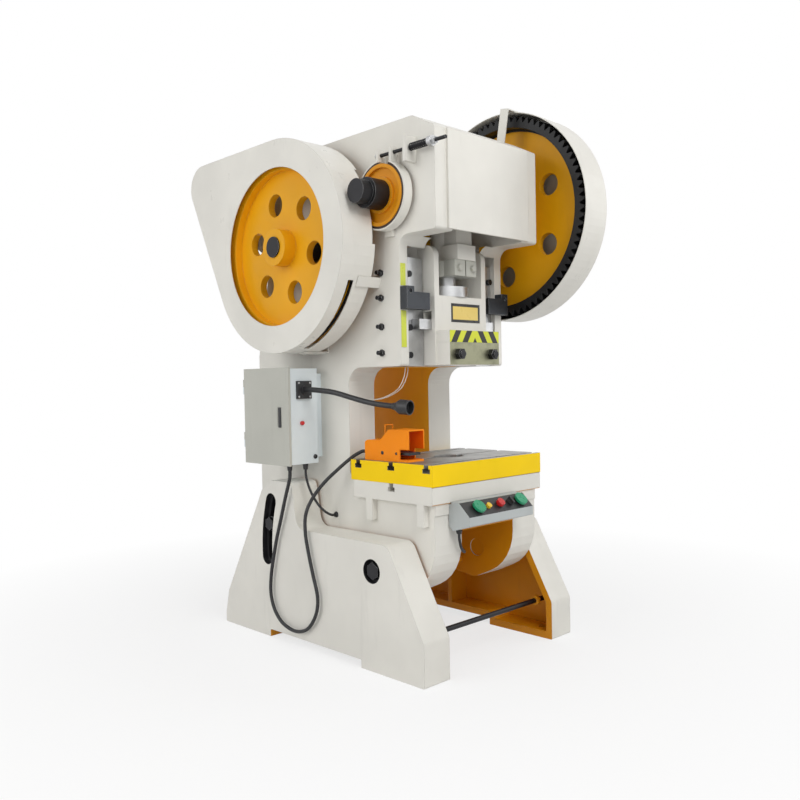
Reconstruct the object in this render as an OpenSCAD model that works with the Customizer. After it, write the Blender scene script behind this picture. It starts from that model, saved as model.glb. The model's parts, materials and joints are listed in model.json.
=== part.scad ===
// Open-back inclinable punching machine, about 40 tonnes.
// Millimetres, +Z up, +X to the right of someone facing the machine, front towards -Y.
// The origin is on the floor at the middle of the four anchor bolts.

/* [Base] */
// Width over the outer faces of the two legs
base_w = 857; // [820:1:900]
// Depth of the legs at the floor
base_d = 1212; // [1150:1:1300]
// Width of each leg casting
leg_w = 127; // [110:1:140]
// Wall of the leg castings
leg_wall = 28; // [20:1:36]
// Height of the leg's front shoulder
leg_shoulder_h = 465; // [440:1:480]
// Height of the leg's rear horn
leg_horn_h = 646; // [600:1:650]
// Height of the tilt axis above the floor
pivot_h = 362; // [340:1:380]
// Distance of the tilt axis in front of the origin
pivot_front = 350; // [330:1:370]
// Radius of the tilt bolts
pivot_r = 35; // [28:1:40]
// Radius of the lock bolt's arc about the tilt axis
lock_arc_r = 636; // [620:1:650]
// Anchor bolt spacing across the machine
anchor_dx = 700; // [660:1:720]
// Anchor bolt spacing front to back
anchor_dy = 1040; // [1000:1:1080]
// Radius of the anchor bolt holes
anchor_r = 14; // [10:1:18]

/* [Frame] */
// Width over the frame's side plates
frame_w = 582; // [570:1:584]
// Gap between the side plates
frame_gap = 314; // [306:1:324]
// Height of the throat's ceiling above the bed
throat_open = 430; // [410:1:450]
// Height of the crank axis above the throat's ceiling
crank_rise = 619; // [610:1:640]
// Height of the roof above the crank axis
roof_rise = 270; // [255:1:300]
// Height of the bed's top face
bed_h = 666; // [650:1:680]
// Thickness of the bolster
bolster_t = 77.5; // [60:0.5:90]
// Width of the bolster
bolster_w = 630; // [600:1:640]
// Depth of the bolster
bolster_d = 432; // [400:1:433]
// Radius of the drop hole
drop_r = 60; // [40:1:80]

/* [Slide] */
// Width of the slide
slide_w = 296; // [280:1:298]
// Height of the slide's body
slide_h = 262; // [250:1:270]
// Stroke of the slide
stroke = 100; // [60:1:110]
// Radius of the die shank bore
shank_r = 25; // [15:1:30]
// Depth of the die shank bore
shank_depth = 70; // [50:1:90]

/* [Drive] */
// Radius of the crank's main journals
journal_r = 55; // [50:1:58]
// Module of the gear teeth
gear_module = 10; // [9.8:0.1:10.1]
// Teeth of the large gear
gear_teeth = 81; // [80:1:82]
// Teeth of the pinion
pinion_teeth = 13; // [12:1:14]
// Face width of the large gear
gear_face = 110; // [90:1:120]
// Radius of the pinion shaft
shaft_r = 40; // [32:1:42]
// Radius of the flywheel
flywheel_r = 380; // [360:1:385]
// Width of the flywheel's rim
flywheel_w = 110; // [100:1:116]
// Radius of the motor pulley
pulley_r = 70; // [60:1:80]
// Radius of the brake drum
drum_r = 112; // [100:1:118]

/* [Electrics] */
// Height of the cabinet
cabinet_h = 376; // [340:1:380]
// Length of the cabinet's door side
cabinet_l = 295; // [270:1:300]
// Depth of the cabinet
cabinet_d = 135; // [110:1:140]
// Width of the control panel
panel_w = 365; // [340:1:380]
// Travel of the push buttons
button_travel = 5; // [3:0.5:6]

/* [Hidden] */
$fn = 96;

ivory = [0.90, 0.88, 0.80];
orange = [0.93, 0.62, 0.10];
yellow = [0.98, 0.78, 0.08];
steel = [0.72, 0.73, 0.75];
dark = [0.13, 0.13, 0.14];
grey = [0.66, 0.68, 0.68];
green = [0.10, 0.60, 0.35];
red = [0.80, 0.12, 0.10];

// Clearances: a running fit, a seat between plain faces, and a sliding gap
run = 0.05;
seat = 0.3;
gap = 0.5;

// Heights, each from the one below it
throat_h = bed_h + throat_open;
crank_h = throat_h + crank_rise;
roof_h = crank_h + roof_rise;
head_h = throat_h + 475;
bed_low = bed_h - 66;
plate_low = bed_low - 40;

// Tilt axis and lock bolt
pivot_y = -pivot_front;
pivot = [pivot_y, pivot_h];
leg_out = base_w / 2;
leg_in = leg_out - leg_w;
lock_rest = 9.2;
tilt_max = 6;
lock_shank_r = 20;
lock_head_r = 30;
lock_head_t = 20;
slot_floor = 24;
pivot_head_r = 32;
pivot_recess_r = 44;
pivot_recess = 25;

// Frame
plate_out = frame_w / 2;
plate_in = frame_gap / 2;
skirt_out = plate_out;
column_y = -87;
guide_y = -382;
head_y = -566;
rear_y = 510;
rear_top_y = 430;
bed_front = -548;
chamber_half = 200;
web_y = -150;
web_t = 60;

// Slide and crank line
slide_cy = -341;
slide_front = -420;
slide_back = -180;
slide_low = throat_h + 2;
slide_top = slide_low + slide_h;
horn_h = 188;
horn_t = 26;
crank = [slide_cy, crank_h];
throw = stroke / 2;
pin_r = 45;
pin_half = 60;
crank_web = 50;
crank_end = -462;
rod_clear = 1;
rod_half = pin_half - 2;

// Gears: the pinion lies behind the crank, a little lower
mesh_distance = gear_module * (gear_teeth + pinion_teeth) / 2;
mesh_angle = -18;
shaft = [crank[0] + mesh_distance * cos(mesh_angle), crank[1] + mesh_distance * sin(mesh_angle)];
gear_x = plate_out + 54;
gear_tip = gear_module * (gear_teeth / 2 + 0.9);
pinion_tip = gear_module * (pinion_teeth / 2 + 0.9);
pressure = 25;
pan_gap = 15;
pan_x = gear_x - 10;
pan_d = 145;
sheet = 3;

// Flywheel side
fly_x = -plate_out - 179;
fly_face = fly_x - 24;
guard_d = 156;
guard_r = 412;
guard_open_r = 305;
motor_axis = [shaft[0] + 509, crank_h + 175];
lobe_r = 92;
belt_w = 14;
belt_h = 10;
belt_count = 3;
belt_pitch = 22;
belt_x = fly_x + 22;

// Brake on the crank's left end
drum_x = -plate_out - 54;
drum_w = 45;
lining_t = 8;
band_t = 6;
band_r = drum_r + seat + lining_t;
brake_x = drum_x + drum_w / 2;

// Cabinet on the left plate
cab_x = -plate_out - 44 - cabinet_d;
cab_y = 55;
cab_z = leg_horn_h + 76;
cab_wall = 3;
door_t = 10;
hinge_y = cab_y + cabinet_l + 9;
hinge_x = cab_x - 5;
hinge_z = [cab_z + 60, cab_z + cabinet_h - 100];
knuckle_h = 30;
knuckle_r = 4;

// Control panel on the bed's front
panel_x = -221;
panel_tilt = 43.8;
panel_mid = [-614, bed_low - 19];
button_x = [-148, 94];
stop_x = -28;
knob_x = 33;
lamp_x = -90;
stem_r = 11;

// Foot switch on the bolster
table_h = bed_h + bolster_t;
switch_x = -287;
switch_w = 84;
switch_front = -407;
switch_back = -170;
switch_split = -276;
switch_cheek = -360;
switch_body_h = 76;
switch_h = 118;
hood_low = 46;
switch_wall = 5;

// Routes of the cords, by hand
cord_r = 7;
switch_exit = table_h + 28.5;
cable_low = cab_z - 25;
lamp_h = cab_z + 292;
switch_cord = [[-262, -160, switch_exit], [-262, -146, switch_exit], [-270, -128, switch_exit - 3],
    [-305, -106, switch_exit - 27], [-345, -70, 700], [-380, -30, 650], [-415, 0, 590], [-440, 10, 530],
    [-445, 8, 460], [-445, -10, 380], [-445, -35, 300], [-445, -58, 230], [-445, -55, 175],
    [-445, -30, 125], [-445, 10, 85], [-445, 65, 65], [-445, 120, 65], [-445, 180, 85], [-445, 225, 130],
    [-445, 245, 190], [-445, 240, 260], [-445, 220, 340], [-445, 195, 420], [-447, 162, 500],
    [-449, 126, 590], [-450, 98, cable_low - 42], [-450, 92, cable_low - 16], [-450, 92, cable_low]];
panel_top = bed_low - 112;
panel_route = [[-190, -560, panel_top], [-190, -560, panel_top - 12], [-188, -561, panel_top - 30],
    [-176, -557, panel_top - 54], [-150, -545, panel_top - 72], [-117, -520, panel_top - 80],
    [-97, -490, panel_top - 77], [-93, -464, panel_top - 64], [-104, -446, panel_top - 56],
    [-119, -440, panel_top - 54], [-130, -440, panel_top - 54]];
power_end = pivot_h + 152;
power_route = [[-385, 75, cable_low], [-385, 75, cable_low - 14], [-384, 70, cable_low - 42],
    [-380, 58, cable_low - 77], [-372, 42, cable_low - 112], [-358, 25, power_end + 38],
    [-340, 12, power_end + 16], [-322, 5, power_end + 4], [-309, 3, power_end], [-300, 3, power_end]];
oil_route = [[-205, -330, throat_h - 1], [-208, -328, throat_h - 34], [-216, -305, throat_h - 81],
    [-216, -250, throat_h - 108], [-212, -190, throat_h - 122], [-208, -135, throat_h - 127],
    [-206, -88, throat_h - 128]];
neck_route = [[-405, 40, lamp_h], [-402, 5, lamp_h], [-396, -50, lamp_h - 4], [-386, -115, lamp_h - 12],
    [-373, -185, lamp_h - 29], [-358, -255, lamp_h - 46], [-345, -320, lamp_h - 57],
    [-335, -378, lamp_h - 63]];

// Outline tools: points are [y, z, corner radius]
function unit(v) = v / norm(v);
function xy(p) = [p[0], p[1]];
function wrap(p, i) = p[(i + len(p)) % len(p)];
function corner(a, b, c, r, n) =
    let (u = unit(a - b), v = unit(c - b), h = acos(u * v) / 2,
        m = b + unit(u + v) * r / sin(h),
        s = b + u * r / tan(h) - m, e = b + v * r / tan(h) - m,
        a0 = atan2(s[1], s[0]), d = (atan2(e[1], e[0]) - a0 + 900) % 360 - 180)
    [for (k = [0:n]) m + r * [cos(a0 + d * k / n), sin(a0 + d * k / n)]];
function rounded(p, n = 6) = [for (i = [0:len(p) - 1])
    let (b = p[i], r = b[2])
    for (q = r == 0 ? [xy(b)] : corner(xy(wrap(p, i - 1)), xy(b), xy(wrap(p, i + 1)), r, n)) q];
function turn(a, b, c) = (b[0] - a[0]) * (c[1] - b[1]) - (b[1] - a[1]) * (c[0] - b[0]);
function left_of(a, b) = unit([a[1] - b[1], b[0] - a[0]]);
// Shrinks a counter-clockwise outline by d, corner radii too
function inset(p, d) = [for (i = [0:len(p) - 1])
    let (a = xy(wrap(p, i - 1)), b = xy(p[i]), c = xy(wrap(p, i + 1)),
        m = left_of(a, b), n = left_of(b, c), q = b + d * (m + n) / (1 + m * n),
        r = turn(a, b, c) > 0 ? max(p[i][2] - d, 4) : p[i][2] + d)
    [q[0], q[1], r]];
function arc(c, r, a0, a1, n = 12) = [for (k = [0:n])
    let (a = a0 + (a1 - a0) * k / n) c + r * [cos(a), sin(a)]];
function band(c, r, half, a0, a1) = concat(arc(c, r + half, a0, a1), arc(c, r - half, a1, a0));

// Involute gear outline, tooth on the first axis
function involute(a) = tan(a) * 180 / PI - a;
function tooth_half(r, pitch_r, teeth, slack) =
    let (base_r = pitch_r * cos(pressure), a = acos(min(1, base_r / max(r, base_r))))
    90 / teeth - slack + involute(pressure) - involute(a);
function gear_outline(teeth, phase) =
    let (pr = gear_module * teeth / 2, tip = pr + 0.9 * gear_module, root = pr - 1.2 * gear_module,
        slack = 0.25 / pr * 180 / PI, steps = 4)
    [for (i = [0:teeth - 1]) for (s = [-1, 1]) for (k = [0:steps])
        let (f = s < 0 ? k / steps : 1 - k / steps, r = root + (tip - root) * f,
            a = phase + 360 * i / teeth + s * tooth_half(r, pr, teeth, slack))
        r * [cos(a), sin(a)]];

// Smooth curve through route points, and a tube along it
function spline(p, n) = [for (i = [0:len(p) - 2]) for (k = [0:n - 1])
    let (t = k / n, a = p[max(i - 1, 0)], b = p[i], c = p[i + 1], d = p[min(i + 2, len(p) - 1)])
    b + t / 2 * (c - a) + t * t / 2 * (2 * a - 5 * b + 4 * c - d) + t * t * t / 2 * (3 * b - a - 3 * c + d)];
function path(p, n) = concat(spline(p, n), [p[len(p) - 1]]);
function heading(q, i) = unit(q[min(i + 1, len(q) - 1)] - q[max(i - 1, 0)]);

module tube(route, r, sides = 8, steps = 2) {
    q = path(route, steps);
    count = len(q);
    rings = [for (i = [0:count - 1])
        let (t = heading(q, i), u = unit(cross(t, [1, 0.35, 0.2])), v = cross(t, u))
        for (k = [0:sides - 1]) q[i] + r * (cos(360 * k / sides) * u + sin(360 * k / sides) * v)];
    sides_faces = [for (i = [0:count - 2]) for (k = [0:sides - 1])
        let (a = i * sides + k, b = i * sides + (k + 1) % sides)
        for (f = [[a + sides, b, a], [a + sides, b + sides, b]]) f];
    start_cap = [for (k = [0:sides - 1]) k];
    end_cap = [for (k = [sides - 1:-1:0]) (count - 1) * sides + k];
    polyhedron(rings, concat(sides_faces, [start_cap, end_cap]));
}

// Shapes that repeat: outlines and bars along X, boxes by their limits
module along_x(x0, x1) { translate([x0, 0, 0]) rotate([90, 0, 90]) linear_extrude(x1 - x0) children(); }
module slab(x0, x1, p) { along_x(x0, x1) polygon(rounded(p)); }
module bar_x(x0, x1, r, c) { translate([x0, c[0], c[1]]) rotate([0, 90, 0]) cylinder(h = x1 - x0, r = r); }
module bar_y(y0, y1, r, x, z) { translate([x, y0, z]) rotate([-90, 0, 0]) cylinder(h = y1 - y0, r = r); }
module box(a, b) { translate(a) cube(b - a); }
module both() {
    children();
    mirror([1, 0, 0]) children();
}
module hex_x(x0, x1, r, c) {
    translate([x0, c[0], c[1]]) rotate([0, 90, 0]) cylinder(h = x1 - x0, r = r, $fn = 6);
}
module hex_y(y0, y1, r, x, z) {
    translate([x, y0, z]) rotate([-90, 0, 0]) cylinder(h = y1 - y0, r = r, $fn = 6);
}

// Legs: castings open towards the frame, on two pads each
leg_front = -base_d / 2;
leg_outline = [[leg_front, 0, 6], [-286, 0, 0], [-286, 30, 4], [275, 30, 4], [275, 0, 0],
    [-leg_front, 0, 6], [-leg_front, 40, 10], [-leg_front - 24, 140, 20], [315, leg_horn_h - 42, 30],
    [250, leg_horn_h, 20], [115, leg_horn_h, 25], [83, leg_shoulder_h, 50],
    [-435, leg_shoulder_h, 45], [leg_front, 150, 30]];
slot_low = lock_rest - tilt_max - 6;
slot_high = 18;

module arc_slot(x0, x1, half) {
    along_x(x0, x1) polygon(band(pivot, lock_arc_r, half, slot_low, slot_high));
    for (a = [slot_low, slot_high])
        bar_x(x0, x1, half, pivot + lock_arc_r * [cos(a), sin(a)]);
}

// Right leg; the left one is its mirror image
module leg() {
    difference() {
        union() {
            difference() {
                slab(leg_in, leg_out, leg_outline);
                slab(leg_in - 1, leg_out - leg_wall, inset(leg_outline, leg_wall));
            }
            bar_x(leg_in, leg_out - leg_wall + 1, 80, pivot);
            intersection() {
                along_x(leg_in, leg_out - leg_wall + 1)
                    polygon(band(pivot, lock_arc_r, 62, slot_low - 9, slot_high + 6));
                slab(leg_in, leg_out, inset(leg_outline, leg_wall / 2));
            }
            box([leg_in, -70, 40], [leg_out - leg_wall + 1, -50, leg_shoulder_h - leg_wall + 1]);
        }
        bar_x(leg_in - 1, leg_out + 1, pivot_r + run, pivot);
        bar_x(leg_out - pivot_recess, leg_out + 1, pivot_recess_r, pivot);
        arc_slot(leg_in - 1, leg_out + 1, lock_shank_r + 3);
        arc_slot(leg_out - slot_floor, leg_out + 1, lock_head_r + 4);
        for (y = [-1, 1]) translate([anchor_dx / 2, y * anchor_dy / 2, -1])
            cylinder(h = leg_wall + 30, r = anchor_r);
    }
}
module right_leg() { color(ivory) leg(); }
module left_leg() { color(ivory) mirror([1, 0, 0]) leg(); }

tie_y = -515;
tie_z = 140;
tie_r = 10;
module tie_rod() {
    color(dark) {
        bar_x(-leg_out + leg_wall, leg_out - leg_wall, tie_r, [tie_y, tie_z]);
        for (s = [-1, 1]) hex_x(s * (leg_in + 18) - 8, s * (leg_in + 18) + 8, 2 * tie_r, [tie_y, tie_z]);
    }
}

module pivot_bolt() {
    bar_x(plate_in - 2, leg_out - pivot_recess, pivot_r, pivot);
    hex_x(leg_out - pivot_recess, leg_out - 4, pivot_head_r, pivot);
}
module pivot_bolts() { color(dark) both() pivot_bolt(); }

// Lock bolts screw into the frame and clamp the legs through their curved slots
lock_at = pivot + lock_arc_r * [cos(lock_rest), sin(lock_rest)];
lock_grip = 60;
module lock_bolt() {
    bar_x(skirt_out - lock_grip, leg_out - slot_floor + seat, lock_shank_r, lock_at);
    bar_x(leg_out - slot_floor + seat, leg_out - slot_floor + seat + 6, lock_head_r, lock_at);
    hex_x(leg_out - slot_floor + seat + 6, leg_out - slot_floor + seat + lock_head_t, lock_head_r - 3,
        lock_at);
}
module lock_bolts() { color(dark) both() lock_bolt(); }

// Frame: two side plates of C outline, tied by roof, webs, bed and apron
plate_outline = [[bed_front + 8, bed_h, 5], [bed_front + 8, plate_low, 0],
    [rear_y, plate_low, 0], [rear_y, throat_h + 64, 60], [rear_top_y, throat_h + 404, 60],
    [rear_top_y, roof_h, 60],
    [head_y + 106, roof_h, 20], [head_y, roof_h - 56, 12], [head_y, head_h, 12],
    [guide_y, head_h, 45], [guide_y, throat_h, 12], [column_y, throat_h, 70], [column_y, bed_h, 30]];
skirt_top = plate_low + 10;
skirt_outline = [[bed_front + 12, skirt_top, 0], [bed_front + 12, pivot_h - 32, 190],
    [pivot_y + 15, pivot_h - 124, 60], [100, pivot_h - 62, 60], [rear_y, pivot_h + 68, 40],
    [rear_y, skirt_top, 0]];
bed_outline = [[bed_front, bed_low, 6], [column_y - 44, bed_low, 0], [column_y - 44, bed_h, 0],
    [bed_front, bed_h, 4]];
roof_t = 40;
roof_outline = [[rear_top_y - 60, roof_h - roof_t, 0], [rear_top_y - 60, roof_h, 0],
    [head_y + 106, roof_h, 20],
    [head_y, roof_h - 56, 0], [head_y, roof_h - 56 - roof_t, 0], [head_y + 106, roof_h - roof_t, 20]];
gib_out = 250;
gib_back = -250;
gib_front = -362;
bush_t = 20;
shaft_bush_t = 12;

module side_plate() {
    difference() {
        union() {
            slab(plate_in, plate_out, plate_outline);
            slab(plate_in - 7, skirt_out, skirt_outline);
            bar_x(plate_in - 7, leg_in - 4, 70, pivot);
        }
        box([-chamber_half, head_y - 1, head_h - 1], [chamber_half, web_y, roof_h - roof_t]);
        box([plate_in - 1, guide_y - 1, throat_h - 1], [gib_out, gib_back, head_h]);
        bar_x(plate_in - 10, leg_in, pivot_r + run, pivot);
        bar_x(skirt_out - lock_grip, skirt_out + 1, lock_shank_r + run, lock_at);
        bar_x(plate_in - 1, plate_out + 1, journal_r + bush_t + run, crank);
        bar_x(plate_in - 1, plate_out + 1, shaft_r + shaft_bush_t + run, shaft);
    }
}

// Apron under the bed's front, and cast lugs under its sides
apron_h = 108;
lug_y = [-506, -237];
lug_w = 36;
lug_drop = 80;
// The shelf starts behind the way that slugs fall
shelf_front = slide_cy + 71;

module frame() {
    color(ivory) difference() {
        union() {
            both() side_plate();
            slab(-plate_in - 1, plate_in + 1, roof_outline);
            box([-plate_in - 1, web_y, throat_h], [plate_in + 1, web_y + web_t, roof_h - 1]);
            slab(-bolster_w / 2, bolster_w / 2, bed_outline);
            box([-plate_in - 1, bed_front + 12, bed_low - apron_h],
                [plate_in + 1, bed_front + 40, bed_low + 1]);
            box([-plate_in - 1, shelf_front, pivot_h - 72], [plate_in + 1, -60, pivot_h - 50]);
            box([-plate_in - 1, rear_y - 60, pivot_h + 78], [plate_in + 1, rear_y - 30, plate_low]);
            both() for (y = lug_y)
                box([plate_out - 1, y, bed_low - lug_drop], [bolster_w / 2, y + lug_w, bed_low + 1]);
        }
        box([-2 * drop_r, slide_cy - 100, bed_low - 1], [2 * drop_r, slide_cy + 100, bed_h + 1]);
        for (s = [-1, 1]) t_slot(s * (bolster_w / 2 - 60), bed_h, 70);
    }
}

// T-slot along X, centred on x, opening upwards at height z
slot_w = 22;
slot_head_w = 36;
slot_neck = 14;
slot_head = 16;
module t_slot(x, z, half) {
    y = slide_cy;
    box([x - half, y - slot_w / 2, z - slot_neck - 1], [x + half, y + slot_w / 2, z + 1]);
    box([x - half, y - slot_head_w / 2, z - slot_neck - slot_head],
        [x + half, y + slot_head_w / 2, z - slot_neck]);
}

slot_pitch = 180;
bolster_front = slide_cy - 210;
module bolster() {
    color(yellow) difference() {
        box([-bolster_w / 2, bolster_front, bed_h], [bolster_w / 2, bolster_front + bolster_d, table_h]);
        for (y = [-slot_pitch, 0, slot_pitch]) translate([0, y, 0]) t_slot(0, table_h, bolster_w / 2 + 1);
        translate([0, slide_cy, bed_h - 1]) cylinder(h = bolster_t + 2, r = drop_r);
    }
}

cover_half = 231;
cover_t = 9;
cover_low = head_h + 5;
cover_high = roof_h - 57;
module crank_cover() {
    color(ivory) difference() {
        box([-cover_half, head_y - cover_t, cover_low], [cover_half, head_y, cover_high]);
        box([-cover_half + 30, head_y - 4, cover_low + 25], [cover_half - 30, head_y + 1, cover_high - 25]);
    }
}

module ring_x(x0, x1, r_out, r_in, c) {
    difference() {
        bar_x(x0, x1, r_out, c);
        bar_x(x0 - 1, x1 + 1, r_in, c);
    }
}
module bearing_bushes() {
    color("goldenrod") both() {
        ring_x(chamber_half, plate_out, journal_r + bush_t, journal_r + run, crank);
        ring_x(plate_in, plate_out, shaft_r + shaft_bush_t, shaft_r + run, shaft);
    }
}

// Slide guides: each gib has a V groove that faces the slide
rail_mid = -300;
rail_half = 34;
rail_in = slide_w / 2;
rail_out = rail_in + 34;
gib_top = throat_h + 404;
module gib() {
    difference() {
        box([plate_in - 5, gib_front, throat_h], [gib_out, gib_back, gib_top]);
        translate([0, 0, throat_h - 1]) linear_extrude(gib_top - throat_h + 2)
            polygon([[rail_in, rail_mid - rail_half - seat], [rail_out + seat, rail_mid],
                [rail_in, rail_mid + rail_half + seat]]);
    }
}
module left_gib() { color(steel) mirror([1, 0, 0]) gib(); }
module right_gib() { color(steel) gib(); }

set_screw_z = [for (d = [51, 148, 255, 348]) throat_h + d];
set_screw_y = -285;
gib_bolt_z = [for (d = [41, 143, 341]) throat_h + d];
gib_bolt_x = 232;
module gib_screws() {
    color(dark) both() {
        for (z = set_screw_z) {
            hex_x(plate_out, plate_out + 10, 13, [set_screw_y, z]);
            bar_x(plate_out + 10, plate_out + 26, 8, [set_screw_y, z]);
        }
        for (z = gib_bolt_z) bar_y(gib_front - 14, gib_front, 12, gib_bolt_x, z);
    }
}

// Stop brackets that meet the knock-out bar at the top of the stroke
stop_low = throat_h + 207;
stop_high = stop_low + 83;
module knockout_stops() {
    color([0.25, 0.26, 0.27]) both() difference() {
        union() {
            box([gib_out + 2, guide_y - 36, stop_low], [plate_out - 1, guide_y, stop_high]);
            box([slide_w / 2 + 22, guide_y - 36, stop_low], [gib_out + 3, guide_y - 6, stop_high - 20]);
        }
        bar_y(guide_y - 37, guide_y - 30, 9, gib_out + 22, stop_high - 18);
    }
}

scale_t = 2;
scale_low = throat_h + 69;
module slide_scale() {
    color("yellowgreen") box([-plate_out + 4, guide_y - scale_t, scale_low],
        [-gib_out - 12, guide_y, stop_low - 4]);
}

// Slide: body with V rails, two horns and a pocket for the connecting rod
bar_half = 212;
bar_low = slide_low + 134;
bar_t = 38;
bar_d = 38;
bar_y0 = -402;
knock_lift = 30;
plate_x = [-57, 111];
plate_z = [slide_low + 164, slide_low + 236];
module slide_section() {
    polygon([[-rail_in, slide_front], [rail_in, slide_front], [rail_in, rail_mid - rail_half],
        [rail_out, rail_mid], [rail_in, rail_mid + rail_half], [rail_in, slide_back],
        [-rail_in, slide_back], [-rail_in, rail_mid + rail_half], [-rail_out, rail_mid],
        [-rail_in, rail_mid - rail_half]]);
}
horn_r = 38;
horn_top = slide_top + horn_h;
module slide() {
    color(ivory) difference() {
        translate([0, 0, slide_low]) linear_extrude(slide_h + horn_h) slide_section();
        box([-rail_in + horn_t, slide_front - 1, slide_top],
            [rail_in - horn_t, slide_back - 40, slide_top + horn_h + 1]);
        box([-rail_out - 1, slide_back - 90, slide_top + 60],
            [rail_out + 1, slide_back + 1, slide_top + horn_h + 1]);
        translate([0, slide_cy, slide_low - 1]) cylinder(h = shank_depth + 1, r = shank_r);
        translate([0, slide_cy, slide_top - 60]) cylinder(h = 61, r = 60);
        box([-rail_in - 1, bar_y0 - gap, bar_low - seat],
            [rail_in + 1, bar_y0 + bar_d + gap, bar_low + bar_t + knock_lift + gap]);
        box([plate_x[0], slide_front - 1, plate_z[0]], [plate_x[1], slide_front + 4, plate_z[1]]);
        difference() {
            box([-rail_out, slide_front - 1, horn_top - horn_r],
                [rail_out, slide_front + horn_r, horn_top + 1]);
            bar_x(-rail_out - 1, rail_out + 1, horn_r, [slide_front + horn_r, horn_top - horn_r]);
        }
    }
}
module slide_plate() {
    color([0.95, 0.85, 0.45])
        box([plate_x[0] + 1, slide_front + 1, plate_z[0] + 1],
            [plate_x[1] - 1, slide_front + 4, plate_z[1] - 1]);
}
module knockout_bar() {
    color(steel) box([-bar_half, bar_y0, bar_low], [bar_half, bar_y0 + bar_d, bar_low + bar_t]);
}

// Connecting rod: the big end is oval, so that the crank pin can turn inside it
big_z = crank_h + throw;
eye_half = 85;
neck_half = 44;
cap_half = 52;
cap_h = 58;
screw_r = 40;
screw_in = 57;
clamp_low = slide_top + 77;
clamp_high = clamp_low + 61;
clamp_half = 62;
clamp_front = slide_cy - 106;
module connecting_rod() {
    color(ivory) difference() {
        union() {
            box([-rod_half, slide_cy - throw - 74, big_z - eye_half],
                [rod_half, slide_cy + 74, big_z + eye_half]);
            translate([0, slide_cy, clamp_high])
                cylinder(h = big_z - eye_half - clamp_high + 1, r = rod_half);
            box([-neck_half, slide_cy - 100, clamp_high + cap_h - 1],
                [neck_half, slide_cy - 20, big_z - eye_half + 1]);
            box([-cap_half, slide_cy - 112, clamp_high], [cap_half, slide_cy - 20, clamp_high + cap_h]);
        }
        for (y = [-throw, 0]) for (z = [-11, 11])
            bar_x(-rod_half - 1, rod_half + 1, pin_r + rod_clear, [slide_cy + y, big_z + z]);
        box([-rod_half - 1, slide_cy - throw, big_z - pin_r - rod_clear - 11],
            [rod_half + 1, slide_cy, big_z + pin_r + rod_clear + 11]);
        box([-rod_half - 1, slide_cy - throw - pin_r - rod_clear, big_z - 11],
            [rod_half + 1, slide_cy + pin_r + rod_clear, big_z + 11]);
        translate([0, slide_cy, clamp_high - 1]) cylinder(h = screw_in + 5, r = screw_r + run);
    }
}
module rod_clamp() {
    color(grey) difference() {
        union() {
            translate([0, slide_cy, clamp_low]) cylinder(h = clamp_high - clamp_low, r = 80);
            box([-clamp_half, clamp_front, clamp_low], [clamp_half, slide_cy - 40, clamp_high]);
            for (x = [-38, 38]) hex_y(clamp_front - 12, clamp_front, 13, x, clamp_low + 31);
        }
        translate([0, slide_cy, clamp_low - 1]) cylinder(h = clamp_high - clamp_low + 2, r = screw_r + run);
        box([-3, clamp_front - 1, clamp_low - 1], [3, slide_cy, clamp_high + 1]);
    }
}
module adjusting_screw() {
    color(steel) {
        translate([0, slide_cy, slide_top - 60]) cylinder(h = 60, r = 60 - run);
        translate([0, slide_cy, slide_top]) cylinder(h = 40, r = 88);
        translate([0, slide_cy, slide_top + 39])
            cylinder(h = clamp_high + screw_in - slide_top - 39, r = screw_r);
    }
}

block_half = 142;
block_front = -488;
block_split = slide_low + 84;
block_top = slide_low + 128;
die_bolt_z = slide_low + 40;
module hazard_block() {
    color(yellow) box([-block_half, block_front, block_split], [block_half, slide_front, block_top]);
}
module die_clamp() {
    color(steel) box([-block_half, block_front, slide_low], [block_half, slide_front, block_split]);
}
module die_bolts() {
    color(dark) for (x = [-95, 95]) {
        bar_y(block_front - 26, block_front, 13, x, die_bolt_z);
        hex_y(block_front - 20, block_front, 22, x, die_bolt_z);
    }
}

// Crankshaft with one throw, drawn at the top of its stroke
drum_seat_r = 50;
stub_r = 43;
stub_l = 47;
module crankshaft() {
    color(steel) {
        bar_x(-pin_half - 1, pin_half + 1, pin_r, [crank[0], big_z]);
        for (s = [-1, 1]) {
            x = s * (pin_half + crank_web / 2);
            bar_x(x - crank_web / 2, x + crank_web / 2, 110, [crank[0], crank_h + 20]);
        }
        bar_x(pin_half + crank_web - 1, gear_x + gear_face + 20, journal_r, crank);
        bar_x(drum_x + drum_w + seat, -pin_half - crank_web + 1, journal_r, crank);
        bar_x(drum_x - 1, drum_x + drum_w + 1, drum_seat_r, crank);
        bar_x(crank_end + stub_l, drum_x - seat, journal_r, crank);
        bar_x(crank_end, crank_end + stub_l + 1, stub_r, crank);
    }
}
module brake_drum() {
    color(orange) difference() {
        ring_x(drum_x, drum_x + drum_w, drum_r, drum_seat_r + run, crank);
        ring_x(drum_x - 1, drum_x + 12, drum_r - 14, 66, crank);
    }
}

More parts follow.
